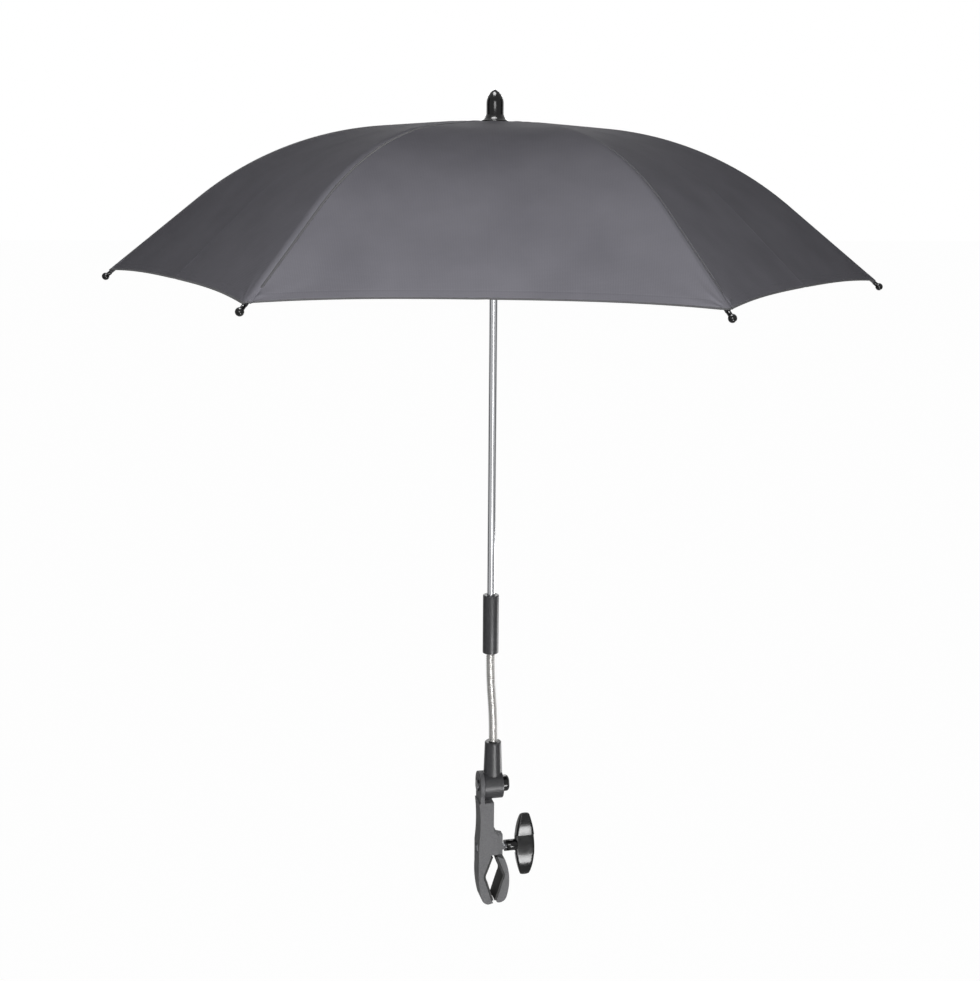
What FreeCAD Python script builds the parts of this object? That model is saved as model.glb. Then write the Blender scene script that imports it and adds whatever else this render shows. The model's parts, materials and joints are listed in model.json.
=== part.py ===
import FreeCAD
import Part
import math
import os

# A pram parasol: a six-rib folding canopy on a chromed pole, a flexible neck, a tilting
# socket and a screw clamp for the push bar of a pram. All lengths are millimetres.
# The origin is the centre of the clamped bar. +Y runs along that bar, +X points to the
# wing knob and +Z runs up the pole.

Vec = FreeCAD.Vector
ORIGIN = Vec(0, 0, 0)
EAST = Vec(1, 0, 0)
NORTH = Vec(0, 1, 0)
UP = Vec(0, 0, 1)

# Fits and cuts
pin_play = 0.05             # radial play of a pin or a tube in its bore
free_gap = 0.3              # gap between faces that move past each other
overrun = 3.0               # how far a cutting shape runs past the face that it cuts

# Canopy frame, in the plane of one rib
rib_count = 6
first_rib_angle = -14.0     # degrees about the pole
pole_offset = -3.5          # where the pole stands along X, the socket being at zero
rib_pivot_z = 777.0
pivot_ring_radius = 7.0
crown_angle = 4.0           # slope of the rib near the crown, degrees
crown_radius = 110.0        # where the straight crown part of a rib ends
bow_radius = 326.0
hem_angle = 38.5            # slope of the rib at the hem, degrees
rib_reach = 374.3
rib_height = 3.0
rib_width = 3.2
rib_wall = 0.7
channel_inset = 12.0        # solid length at each end of the rib's channel
blade_thickness = 1.8       # flattened root of a rib or stretcher
blade_length = 12.0
bar_start = 6.5             # from a root pivot to the start of the full section
eye_radius = 1.6
wire_radius = 0.6
wire_play = 0.1
tip_pin_radius = 1.1
tip_pin_length = 5.5

# Rivet between rib and stretcher
rivet_reach = 230.0         # where along the radius the rivet hangs from the rib
rivet_drop = 5.0            # below the rib's centre line
rivet_radius = 0.8
rivet_head_radius = 1.5
rivet_head_thickness = 0.5
lug_radius = 2.2

# Stretchers
stretcher_height = 2.6
stretcher_width = 3.0
fork_wall = 0.9
fork_length = 14.0
fork_overlap = 4.0          # how far the fork's cheeks run back along the bar

# Hubs that carry the ribs and the stretchers
hub_radius = 10.0
notch_depth = 4.0           # hub below the pivot ring
notch_rise = 2.4            # hub above the pivot ring

# Rib tips
tip_neck_radius = 2.0
tip_ball_radius = 3.6
tip_ball_reach = 7.2        # from the end of the rib to the ball's centre

# Cloth
cloth_thickness = 1.0
cloth_inner_radius = 22.0
hem_set_back = 0.3          # from the end of a rib in to the hem

# Pole and ferrule
pole_radius = 4.0
pole_wall = 0.8
ferrule_skirt_radius = 12.7
ferrule_radius = 8.3
ferrule_skirt_height = 1.2
ferrule_flare_height = 5.5
ferrule_barrel_height = 10.5
ferrule_dome_height = 12.5
ferrule_point_radius = 1.4
ferrule_dome_mid_shares = (0.72, 0.66)      # of its radius and of its height
pole_in_ferrule = 14.0

# Runner, with a release button that grips the pole until it is pressed
runner_rise = 1.5
runner_hub_depth = 3.5
runner_length = 28.0        # barrel below the pivot ring
runner_barrel_radius = 11.0
button_window_drop = 9.0    # from the pivot ring to the top of the button's window
button_height = 10.0
button_half_width = 5.7
button_travel = 1.5
button_proud = 2.2
button_back_wall = 1.4
runner_spring_length = 3.2
runner_spring_radius = 2.2
runner_spring_wire = 0.22
runner_spring_turns = 3

# Grip sleeve and flexible neck
neck_bottom_z = 148.7
neck_top_z = 246.4
link_count = 9
link_gap = 0.97
ribs_per_link = 4
neck_crest_radius = 4.6
neck_root_radius = 3.4
neck_bore_radius = 2.4
neck_crest_shares = (0.24, 0.76)            # of one rib's pitch
spigot_radius = 4.3
spigot_length = 16.0
sleeve_length = 62.3
sleeve_radius = 8.2
sleeve_chamfer = 0.9

# Pole socket and tilt joint
tilt_z = 100.6
barrel_radius = 15.0
barrel_left = -10.6
barrel_right = 9.0
socket_top_radius = 8.6
socket_foot_radius = 10.3
socket_chamfer = 0.8
ear_left = -15.4
tilt_rivet_radius = 3.0
tilt_rivet_head_radius = 6.0
tilt_rivet_head = 2.0
lock_floor = 1.0            # X of the floor behind the lock button
lock_button_radius = 8.6
lock_button_flange = 1.0
lock_flange_length = 1.6
lock_lip_length = 1.6
lock_button_proud = 8.6
lock_button_chamfer = 1.6
lock_button_wall = 1.8
lock_spring_wire = 0.4
lock_spring_turns = 4

# Clamp body
clamp_depth = 23.0
clamp_half_width = 16.8
jaw_drop = 32.0
arm_back = 16.6
arm_waist = 15.3            # the arm's back edge, halfway up
arm_waist_z = 62.0
arm_swell_z = 36.0          # top of the swelling round the nut
arm_width = 15.8
arm_top_z = 84.0
arm_foot_z = 52.0
cheek_reach = 4.6
cheek_top_z = 46.0
cheek_foot_z = 24.3
cavity_half_depth = 5.0
cavity_back = 7.5
cavity_top_z = 48.0
fixed_jaw_bulge_shares = (-1.0, 0.34)       # of clamp_half_width and jaw_drop
fixed_jaw_flank_shares = (-0.945, -0.41)
fixed_jaw_ankle_shares = (-0.80, -0.80)
fixed_jaw_heel_shares = (-0.60, -0.95)
fixed_jaw_toe_shares = (-0.36, -1.0)
fixed_jaw_lip_shares = (-0.05, -0.965)

# Jaws and pads
bar_radius = 9.0
pad_thickness = 2.5
seat_half_angle = 32.0
pad_foot_z = -28.0
pad_half_gap = 0.35
pad_mouth = 1.2             # half the pads' spread at the top of the opening
jaw_shoulder_z = 22.0
jaw_shoulder_fall = 3.5     # the shoulder slopes down to its outer end
jaw_shoulder_reach = 11.5
moving_jaw_flank_shares = (0.985, -0.11)
moving_jaw_ankle_shares = (0.83, -0.76)
moving_jaw_heel_shares = (0.60, -0.93)
moving_jaw_toe_shares = (0.19, -0.95)
jaw_pivot_x = 1.0
jaw_pivot_z = 42.0
jaw_pin_radius = 2.0
jaw_eye_radius = 5.0
neck_half_depth = 4.7
neck_front = 10.5
neck_head_z = 44.0          # front corner at the top of the jaw's neck
neck_foot = 6.0             # X of the back edge of the jaw's neck where it meets the shoulder
neck_sink = 4.5             # how deep the neck runs into the shoulder
bearing_radius = 2.5        # rounded boss that the thrust washer bears on

# Screw, nut, washer and wing knob
screw_z = 29.0
screw_radius = 3.0
screw_clearance = 0.3
screw_end = -16.0
slot_top = 3.4              # screw slot in the jaw's neck, above and below the screw's axis
slot_foot = 6.4
nut_across_flats = 10.0
nut_thickness = 5.0
nut_recess = 1.0
washer_radius = 6.0
washer_thickness = 1.5
washer_play = 0.15
knob_hub_radius = 6.0
knob_inner = 25.3
knob_outer = 44.7
knob_half_height = 35.2
knob_tip_width = 9.0
knob_tip_round = 1.8        # rise of the rounded end of a wing
knob_crease_rise = 11.0
knob_tip_thickness = 1.6
knob_lobe_mid_shares = (0.52, 0.48)         # long lobe: of the rise to the crease, of the wing's reach
knob_lobe_bulge = 5.4
knob_crease_inner = 3.4
knob_crease_outer = 4.6
knob_short_lobe_share = 0.52
knob_short_lobe_bulge = 4.5

# Places worked out from the sizes above
panel_half_angle = 180.0 / rib_count
panel_narrowing = math.cos(math.radians(panel_half_angle))
cloth_reach = rib_reach - hem_set_back
clamp_side = clamp_depth / 2
boss_x = neck_front
washer_left = boss_x + bearing_radius + washer_play
washer_right = washer_left + washer_thickness
hub_left = washer_right + pin_play


# Small helpers
def at(point):
    return Vec(point[0], 0, point[1])


def goal(item):
    return item[1] if isinstance(item[0], tuple) else item


def outline(items):
    # Closed face in the XZ plane. A pair of points is an arc through the first one to the second.
    edges = []
    last = at(goal(items[-1]))
    for item in items:
        here = at(goal(item))
        if isinstance(item[0], tuple):
            edges.append(Part.Arc(last, at(item[0]), here).toShape())
        else:
            edges.append(Part.makeLine(last, here))
        last = here
    return Part.Face(Part.Wire(edges))


def slab(items, half_depth):
    face = outline(items)
    face.translate(NORTH * -half_depth)
    return face.extrude(NORTH * (2 * half_depth))


def turned(items):
    return outline(items).revolve(ORIGIN, UP, 360)


def rod(radius, start, end):
    axis = end.sub(start)
    return Part.makeCylinder(radius, axis.Length, start, axis)


def block(low, high):
    size = high.sub(low)
    return Part.makeBox(size.x, size.y, size.z, low)


def across(radius, x, z, half_depth):
    return rod(radius, Vec(x, -half_depth, z), Vec(x, half_depth, z))


def along(radius, left, right, z):
    return rod(radius, Vec(left, 0, z), Vec(right, 0, z))


def share_point(shares, width, height):
    return (shares[0] * width, shares[1] * height)


def on_circle(radius, degrees):
    return (radius * math.cos(math.radians(degrees)), radius * math.sin(math.radians(degrees)))


def coil(radius, wire, length, turns):
    # One unbroken spring along +Z: each half turn is an arc, and the ends stay inside the length.
    rise = (length - 2 * wire) / turns
    steps = 4 * turns
    points = []
    for step in range(steps + 1):
        x, y = on_circle(radius, 90 * step)
        points.append(Vec(x, y, wire + rise * step / 4))
    halves = []
    for step in range(0, steps, 2):
        halves.append(Part.Arc(points[step], points[step + 1], points[step + 2]).toShape())
    path = Part.Wire(halves)
    heading = halves[0].tangentAt(halves[0].FirstParameter)
    section = Part.Wire(Part.makeCircle(wire, points[0], heading))
    return path.makePipeShell([section], True, False)


# Canopy frame: shapes in the XZ plane, X being the distance from the pole
def rib_bow():
    crown = math.radians(crown_angle)
    crown_end_z = rib_pivot_z - (crown_radius - pivot_ring_radius) * math.tan(crown)
    centre_x = crown_radius - bow_radius * math.sin(crown)
    centre_z = crown_end_z - bow_radius * math.cos(crown)
    return centre_x, centre_z


def bow_point(degrees, offset):
    centre_x, centre_z = rib_bow()
    turn = math.radians(degrees)
    radius = bow_radius + offset
    return (centre_x + radius * math.sin(turn), centre_z + radius * math.cos(turn))


def rib_z(reach):
    # Height of the rib's centre line: a straight crown, an arc, and a straight run to the hem.
    centre_x, centre_z = rib_bow()
    hem_x, hem_z = bow_point(hem_angle, 0)
    if reach <= crown_radius:
        return rib_pivot_z - (reach - pivot_ring_radius) * math.tan(math.radians(crown_angle))
    if reach <= hem_x:
        return centre_z + math.sqrt(bow_radius ** 2 - (reach - centre_x) ** 2)
    return hem_z - (reach - hem_x) * math.tan(math.radians(hem_angle))


def rib_edge(reach, degrees, offset):
    turn = math.radians(degrees)
    return (reach + offset * math.sin(turn), rib_z(reach) + offset * math.cos(turn))


def bowed_band(start, reach, lower, upper, half_depth):
    # Bar between two lines that follow the rib's centre line at a lower and an upper offset.
    middle = (crown_angle + hem_angle) / 2
    items = [
        rib_edge(start, crown_angle, upper),
        bow_point(crown_angle, upper),
        (bow_point(middle, upper), bow_point(hem_angle, upper)),
        rib_edge(reach, hem_angle, upper),
        rib_edge(reach, hem_angle, lower),
        bow_point(hem_angle, lower),
        (bow_point(middle, lower), bow_point(crown_angle, lower)),
        rib_edge(start, crown_angle, lower),
    ]
    return slab(items, half_depth)


def rivet_point():
    slope = math.asin((rivet_reach - rib_bow()[0]) / bow_radius)
    return rib_edge(rivet_reach, math.degrees(slope), -rivet_drop)


def runner_pivot_z():
    return 2 * rivet_point()[1] - rib_pivot_z


def fold_length():
    x, z = rivet_point()
    return math.hypot(x - pivot_ring_radius, z - rib_pivot_z)


def around_pole(shape, number):
    shape.rotate(ORIGIN, UP, first_rib_angle + 2 * panel_half_angle * number)
    shape.translate(EAST * pole_offset)
    return shape


def on_pole(shape):
    shape.translate(EAST * pole_offset)
    return shape


def rib(number):
    half_height = rib_height / 2
    half_blade = blade_thickness / 2
    rivet_x, rivet_z = rivet_point()
    bar = bowed_band(pivot_ring_radius + bar_start, rib_reach, -half_height, half_height, rib_width / 2)
    channel = bowed_band(
        pivot_ring_radius + bar_start + channel_inset,
        rib_reach - channel_inset,
        -half_height - overrun,
        half_height - rib_wall,
        rib_width / 2 - rib_wall,
    )
    root = slab(
        [
            rib_edge(pivot_ring_radius, crown_angle, half_height),
            rib_edge(pivot_ring_radius + blade_length, crown_angle, half_height),
            rib_edge(pivot_ring_radius + blade_length, crown_angle, -half_height),
            rib_edge(pivot_ring_radius, crown_angle, -half_height),
        ],
        half_blade,
    )
    eye = across(eye_radius, pivot_ring_radius, rib_pivot_z, half_blade)
    lug = slab(
        [
            (rivet_x - lug_radius, rivet_z),
            (rivet_x + lug_radius, rivet_z),
            (rivet_x + lug_radius, rib_z(rivet_x + lug_radius)),
            (rivet_x - lug_radius, rib_z(rivet_x - lug_radius)),
        ],
        half_blade,
    )
    lug_end = across(lug_radius, rivet_x, rivet_z, half_blade)
    hem = math.radians(hem_angle)
    end = at((rib_reach, rib_z(rib_reach)))
    heading = Vec(math.cos(hem), 0, -math.sin(hem))
    pin = rod(tip_pin_radius, end - heading * channel_inset, end + heading * tip_pin_length)
    body = bar.cut(channel).fuse([root, eye, lug, lug_end, pin])
    body = body.cut(across(wire_radius + wire_play, pivot_ring_radius, rib_pivot_z, rib_width))
    body = body.cut(across(rivet_radius + pin_play, rivet_x, rivet_z, rib_width))
    return around_pole(Part.makeCompound([body, rivet()]), number)


def rivet():
    x, z = rivet_point()
    half_grip = blade_thickness / 2 + free_gap + fork_wall + pin_play
    half_length = half_grip + rivet_head_thickness
    shank = across(rivet_radius, x, z, half_length)
    left = rod(rivet_head_radius, Vec(x, -half_length, z), Vec(x, -half_grip, z))
    right = rod(rivet_head_radius, Vec(x, half_grip, z), Vec(x, half_length, z))
    return shank.fuse([left, right])


def rib_tip(number):
    neck_end = tip_ball_reach - math.sqrt(tip_ball_radius ** 2 - tip_neck_radius ** 2)
    bore = tip_pin_radius + pin_play
    bore_end = tip_pin_length + pin_play
    ball_top = tip_ball_reach + tip_ball_radius
    tip = turned([
        (bore, 0),
        (tip_neck_radius, 0),
        (tip_neck_radius, neck_end),
        ((tip_ball_radius, tip_ball_reach), (0, ball_top)),
        (0, bore_end),
        (bore, bore_end),
    ])
    tip.rotate(ORIGIN, NORTH, 90 + hem_angle)
    hem = math.radians(hem_angle)
    seat = at((rib_reach, rib_z(rib_reach)))
    tip.translate(seat + Vec(math.cos(hem), 0, -math.sin(hem)) * pin_play)
    return around_pole(tip, number)


def stretcher(number):
    length = fold_length()
    half_height = stretcher_height / 2
    half_blade = blade_thickness / 2
    fork_inner = half_blade + free_gap
    fork_outer = fork_inner + fork_wall
    bar_end = length - fork_length + fork_overlap
    bar = block(
        Vec(bar_start, -stretcher_width / 2, -half_height),
        Vec(bar_end, stretcher_width / 2, half_height),
    )
    root = block(Vec(0, -half_blade, -half_height), Vec(blade_length, half_blade, half_height))
    eye = across(eye_radius, 0, 0, half_blade)
    arm = bar.fuse([root, eye])
    for side in (-1, 1):
        low = min(side * fork_inner, side * fork_outer)
        high = max(side * fork_inner, side * fork_outer)
        cheek = block(
            Vec(length - fork_length, low, -half_height),
            Vec(length, high, half_height),
        )
        round_end = rod(lug_radius, Vec(length, low, 0), Vec(length, high, 0))
        arm = arm.fuse([cheek, round_end])
    arm = arm.cut(across(wire_radius + wire_play, 0, 0, stretcher_width))
    arm = arm.cut(across(rivet_radius + pin_play, length, 0, fork_outer + overrun))
    rivet_x, rivet_z = rivet_point()
    rise = math.degrees(math.atan2(rivet_z - runner_pivot_z(), rivet_x - pivot_ring_radius))
    arm.rotate(ORIGIN, NORTH, -rise)
    arm.translate(Vec(pivot_ring_radius, 0, runner_pivot_z()))
    return around_pole(arm, number)


def pivot_slots(foot, top):
    # The slots in a hub that take the flattened roots of the ribs or stretchers.
    half_slot = blade_thickness / 2 + free_gap
    floor = pivot_ring_radius - eye_radius - free_gap
    slots = []
    for number in range(rib_count):
        slot = block(Vec(floor, -half_slot, foot), Vec(hub_radius + overrun, half_slot, top))
        slot.rotate(ORIGIN, UP, first_rib_angle + 2 * panel_half_angle * number)
        slots.append(slot)
    return slots


def wire_ring(z, play):
    ring = Part.makeTorus(pivot_ring_radius, wire_radius + play)
    ring.translate(UP * z)
    return ring


def top_notch():
    bore = pole_radius + pin_play
    foot = rib_pivot_z - notch_depth
    top = rib_pivot_z + notch_rise
    hub = turned([(bore, foot), (hub_radius, foot), (hub_radius, top), (bore, top)])
    hub = hub.cut(pivot_slots(foot - overrun, top + overrun))
    return on_pole(hub.cut(wire_ring(rib_pivot_z, pin_play)))


def cloth_lift():
    # Height of the cloth over the rib's centre line, so that it clears the rib's edges at the hem.
    hem = math.radians(hem_angle)
    edge_drop = rib_width / 2 * math.tan(math.radians(panel_half_angle)) * math.tan(hem)
    return (rib_height / 2 + free_gap) / math.cos(hem) + edge_drop


def cloth_point(reach, above):
    return (reach * panel_narrowing, rib_z(reach) + cloth_lift() + above)


def canopy_sector(number):
    # Cloth from mid-gore to mid-gore across one rib. Each half is straight along the hem.
    bow_end = bow_point(hem_angle, 0)[0]
    bow_mid = bow_point((crown_angle + hem_angle) / 2, 0)[0]
    profile = [
        cloth_point(cloth_inner_radius, cloth_thickness),
        cloth_point(crown_radius, cloth_thickness),
        (cloth_point(bow_mid, cloth_thickness), cloth_point(bow_end, cloth_thickness)),
        cloth_point(cloth_reach, cloth_thickness),
        cloth_point(cloth_reach, 0),
        cloth_point(bow_end, 0),
        (cloth_point(bow_mid, 0), cloth_point(crown_radius, 0)),
        cloth_point(cloth_inner_radius, 0),
    ]
    half = outline(profile)
    half.translate(NORTH * (-free_gap / 2))
    half = half.extrude(NORTH * -(cloth_reach + overrun))
    half.rotate(ORIGIN, UP, panel_half_angle)
    other_side = block(
        Vec(-cloth_reach, -2 * cloth_reach, 0),
        Vec(2 * cloth_reach, 0, rib_pivot_z + cloth_reach),
    )
    half = half.cut(other_side)
    whole = half.fuse(half.mirror(ORIGIN, NORTH)).removeSplitter()
    return around_pole(whole, number)


def canopy_crown():
    rim = cloth_inner_radius * panel_narrowing - free_gap
    bore = pole_radius + pin_play
    crown = turned([
        (bore, crown_z(bore)),
        (rim, crown_z(rim)),
        (rim, crown_z(rim) + cloth_thickness),
        (bore, crown_z(bore) + cloth_thickness),
    ])
    return on_pole(crown)


def crown_z(reach):
    return rib_z(reach) + cloth_lift()


# Pole
def ferrule_foot_z():
    return crown_z(pole_radius) + cloth_thickness + pin_play


def ferrule():
    bore = pole_radius + pin_play
    foot = ferrule_foot_z()
    skirt = foot + ferrule_skirt_height
    flare = skirt + ferrule_flare_height
    barrel = flare + ferrule_barrel_height
    top = barrel + ferrule_dome_height
    dome_mid = (
        ferrule_radius * ferrule_dome_mid_shares[0],
        barrel + ferrule_dome_height * ferrule_dome_mid_shares[1],
    )
    bore_top = foot + pole_in_ferrule + pin_play
    cap = turned([
        (bore, foot),
        (ferrule_skirt_radius, foot),
        (ferrule_skirt_radius, skirt),
        (ferrule_radius, flare),
        (ferrule_radius, barrel),
        (dome_mid, (ferrule_point_radius, top)),
        (0, top),
        (0, bore_top),
        (bore, bore_top),
    ])
    return on_pole(cap)


def sleeve_shoulder_z():
    return neck_top_z + spigot_length


def shaft_tube():
    foot = sleeve_shoulder_z() + pin_play
    top = ferrule_foot_z() + pole_in_ferrule
    bore = pole_radius - pole_wall
    tube = turned([(bore, foot), (pole_radius, foot), (pole_radius, top), (bore, top)])
    return on_pole(tube)


def grip_sleeve():
    low_bore = spigot_radius + pin_play
    high_bore = pole_radius + pin_play
    foot = neck_top_z
    top = neck_top_z + sleeve_length
    shoulder = sleeve_shoulder_z()
    sleeve = turned([
        (low_bore, foot),
        (sleeve_radius - sleeve_chamfer, foot),
        (sleeve_radius, foot + sleeve_chamfer),
        (sleeve_radius, top - sleeve_chamfer),
        (sleeve_radius - sleeve_chamfer, top),
        (high_bore, top),
        (high_bore, shoulder),
        (low_bore, shoulder),
    ])
    return on_pole(sleeve)


# Runner
def runner_foot_z():
    return runner_pivot_z() - runner_length


def button_middle_z():
    return runner_pivot_z() - button_window_drop - button_height / 2


def button_back_y():
    return pole_radius + pin_play + button_back_wall


def spring_seat_y():
    return button_back_y() + runner_spring_length


def runner():
    bore = pole_radius + free_gap
    foot = runner_foot_z()
    waist = runner_pivot_z() - runner_hub_depth
    top = runner_pivot_z() + runner_rise
    body = turned([
        (bore, foot),
        (runner_barrel_radius, foot),
        (runner_barrel_radius, waist),
        (hub_radius, waist),
        (hub_radius, top),
        (bore, top),
    ])
    body = body.cut(pivot_slots(waist, top + overrun))
    body = body.cut(wire_ring(runner_pivot_z(), pin_play))
    half_height = button_height / 2
    window = block(
        Vec(-button_half_width - free_gap, -runner_barrel_radius - overrun, button_middle_z() - half_height),
        Vec(button_half_width + free_gap, spring_seat_y(), button_middle_z() + half_height),
    )
    return on_pole(body.cut(window))


def runner_button():
    half_height = button_height / 2 - free_gap
    middle = button_middle_z()
    low_z = middle - half_height
    high_z = middle + half_height
    front = -runner_barrel_radius - button_proud
    grip = block(
        Vec(-button_half_width, front, low_z),
        Vec(button_half_width, button_back_y(), high_z),
    )
    hole_radius = pole_radius + pin_play
    far_y = -(button_travel + free_gap)
    near = rod(hole_radius, Vec(0, 0, low_z - overrun), Vec(0, 0, high_z + overrun))
    far = rod(hole_radius, Vec(0, far_y, low_z - overrun), Vec(0, far_y, high_z + overrun))
    between = block(
        Vec(-hole_radius, far_y, low_z - overrun),
        Vec(hole_radius, 0, high_z + overrun),
    )
    return on_pole(grip.cut([near, far, between]))


def runner_spring():
    spring = coil(runner_spring_radius, runner_spring_wire, runner_spring_length, runner_spring_turns)
    spring.rotate(ORIGIN, EAST, -90)
    spring.translate(Vec(0, button_back_y(), button_middle_z()))
    return on_pole(spring)


# Flexible neck: short ribbed links whose line sways across from the socket to the pole
def link_length():
    return (neck_top_z - neck_bottom_z - (link_count - 1) * link_gap) / link_count


def sway(share):
    if share <= 0.5:
        return pole_offset * 2 * share ** 2
    return pole_offset * (1 - 2 * (1 - share) ** 2)


def link_middle_z(number):
    return neck_bottom_z + link_length() / 2 + number * (link_length() + link_gap)


def link_share(z):
    first = link_middle_z(0)
    return (z - first) / (link_middle_z(link_count - 1) - first)


def link_lean(number):
    share = link_share(link_middle_z(number))
    span = link_middle_z(link_count - 1) - link_middle_z(0)
    slope = pole_offset * 4 * min(share, 1 - share) / span
    return math.degrees(math.atan(slope))


def gooseneck_link(number):
    length = link_length()
    pitch = length / ribs_per_link
    rings = []
    for turn in range(ribs_per_link):
        foot = turn * pitch - length / 2
        rings.append((neck_root_radius, foot))
        rings.append((neck_crest_radius, foot + neck_crest_shares[0] * pitch))
        rings.append((neck_crest_radius, foot + neck_crest_shares[1] * pitch))
    rings.append((neck_root_radius, length / 2))
    circles = [Part.Wire(Part.makeCircle(radius, UP * z, UP)) for radius, z in rings]
    body = Part.makeLoft(circles, True, True)
    if number == 0:
        body = body.fuse(rod(spigot_radius, UP * (-length / 2 - spigot_length), UP * (-length / 2)))
    if number == link_count - 1:
        body = body.fuse(rod(spigot_radius, UP * (length / 2), UP * (length / 2 + spigot_length)))
    reach = length / 2 + spigot_length + overrun
    body = body.cut(rod(neck_bore_radius, UP * -reach, UP * reach))
    body.rotate(ORIGIN, NORTH, link_lean(number))
    middle = link_middle_z(number)
    body.translate(Vec(sway(link_share(middle)), 0, middle))
    return body


# Tilt joint
def lock_button_seat():
    return barrel_right - lock_lip_length


def pole_socket():
    foot_z = tilt_z
    taper = turned([
        (0, foot_z),
        (socket_foot_radius, foot_z),
        (socket_top_radius, neck_bottom_z - socket_chamfer),
        (socket_top_radius - socket_chamfer, neck_bottom_z),
        (0, neck_bottom_z),
    ])
    barrel = along(barrel_radius, barrel_left, barrel_right, tilt_z)
    body = taper.fuse(barrel)
    spigot_bore = rod(
        spigot_radius + pin_play,
        UP * (neck_bottom_z - spigot_length - pin_play),
        UP * (neck_bottom_z + overrun),
    )
    rivet_bore = along(tilt_rivet_radius + pin_play, barrel_left - overrun, lock_floor + overrun, tilt_z)
    flange_radius = lock_button_radius + lock_button_flange
    chamber = along(flange_radius + free_gap, lock_floor, lock_button_seat(), tilt_z)
    mouth = along(lock_button_radius + pin_play, lock_floor, barrel_right + overrun, tilt_z)
    return body.cut([spigot_bore, rivet_bore, chamber, mouth])


def tilt_rivet():
    head_x = ear_left - pin_play
    tail_x = lock_floor + pin_play
    shank = along(tilt_rivet_radius, head_x, tail_x, tilt_z)
    head = along(tilt_rivet_head_radius, head_x - tilt_rivet_head, head_x, tilt_z)
    tail_radius = lock_spring_radius() - lock_spring_wire - free_gap
    tail = along(tail_radius, tail_x, tail_x + tilt_rivet_head / 2, tilt_z)
    return shank.fuse([head, tail])


def lock_button():
    flange_right = lock_button_seat() - free_gap
    flange_left = flange_right - lock_flange_length
    outer = barrel_right + lock_button_proud
    inner_radius = lock_button_radius - lock_button_wall
    cap = turned([
        (inner_radius, flange_left),
        (lock_button_radius + lock_button_flange, flange_left),
        (lock_button_radius + lock_button_flange, flange_right),
        (lock_button_radius, flange_right),
        (lock_button_radius, outer - lock_button_chamfer),
        (lock_button_radius - lock_button_chamfer, outer),
        (0, outer),
        (0, spring_seat_x()),
        (inner_radius, spring_seat_x()),
    ])
    cap.rotate(ORIGIN, NORTH, 90)
    cap.translate(UP * tilt_z)
    return cap


def spring_seat_x():
    return barrel_right + lock_button_proud - 2 * lock_button_wall


def lock_spring_radius():
    return lock_button_radius - lock_button_wall - lock_spring_wire - free_gap


def button_spring():
    length = spring_seat_x() - lock_floor - 2 * pin_play
    spring = coil(lock_spring_radius(), lock_spring_wire, length, lock_spring_turns)
    spring.rotate(ORIGIN, NORTH, 90)
    spring.translate(Vec(lock_floor + pin_play, 0, tilt_z))
    return spring


# Jaws. A side of -1 is the fixed jaw, 1 the moving jaw.
def seat_points(side, radius, top, foot):
    # Down the gripping face: a slope, the round seat for the bar, and a slope to the mouth.
    upper = on_circle(radius, seat_half_angle)
    return [
        top,
        (side * upper[0], upper[1]),
        ((side * radius, 0), (side * upper[0], -upper[1])),
        foot,
    ]


def pad_ends(side):
    top = (side * pad_mouth, jaw_shoulder_z)
    foot = (side * pad_half_gap, pad_foot_z)
    back_top = (side * (pad_mouth + pad_thickness), jaw_shoulder_z)
    back_foot = (side * (pad_half_gap + pad_thickness), pad_foot_z)
    return top, foot, back_top, back_foot


def jaw_pad(side):
    top, foot, back_top, back_foot = pad_ends(side)
    front = seat_points(side, bar_radius, top, foot)
    back_radius = bar_radius + pad_thickness
    upper = on_circle(back_radius, seat_half_angle)
    back = [
        back_foot,
        (side * upper[0], -upper[1]),
        ((side * back_radius, 0), (side * upper[0], upper[1])),
        back_top,
    ]
    return slab(front + back, clamp_side)


def clamp_body():
    top, foot, back_top, back_foot = pad_ends(-1)
    size = (clamp_half_width, jaw_drop)
    seat = seat_points(-1, bar_radius + pad_thickness, back_top, back_foot)
    frame = slab(
        [
            ((-arm_waist, arm_waist_z), (-arm_back, arm_top_z)),
            (arm_width - arm_back, arm_top_z),
            (arm_width - arm_back, arm_foot_z),
            (cheek_reach, cheek_top_z),
            (cheek_reach, cheek_foot_z),
            (back_top[0], cheek_foot_z),
        ]
        + seat
        + [
            share_point(fixed_jaw_lip_shares, *size),
            share_point(fixed_jaw_toe_shares, *size),
            (share_point(fixed_jaw_heel_shares, *size), share_point(fixed_jaw_ankle_shares, *size)),
            (share_point(fixed_jaw_flank_shares, *size), share_point(fixed_jaw_bulge_shares, *size)),
            (-clamp_half_width, arm_swell_z),
        ],
        clamp_side,
    )
    ear_right = barrel_left - free_gap
    ear_disc = along(barrel_radius, ear_left, ear_right, tilt_z)
    ear_web = block(
        Vec(ear_left, -clamp_side, arm_top_z - overrun),
        Vec(ear_right, clamp_side, tilt_z),
    )
    body = frame.fuse([ear_disc, ear_web])
    cavity = block(
        Vec(-cavity_back, -cavity_half_depth, cheek_foot_z),
        Vec(cheek_reach + overrun, cavity_half_depth, cavity_top_z),
    )
    screw_hole = along(screw_radius + screw_clearance, -clamp_half_width - overrun, 0, screw_z)
    pocket = hex_bar(nut_across_flats / 2 + pin_play, -clamp_half_width - overrun, nut_right())
    pin_hole = across(jaw_pin_radius + pin_play, jaw_pivot_x, jaw_pivot_z, clamp_side + overrun)
    rivet_hole = along(tilt_rivet_radius + pin_play, ear_left - overrun, ear_right + overrun, tilt_z)
    return body.cut([cavity, screw_hole, pocket, pin_hole, rivet_hole])


def nut_right():
    return -arm_back + nut_recess + nut_thickness


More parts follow.
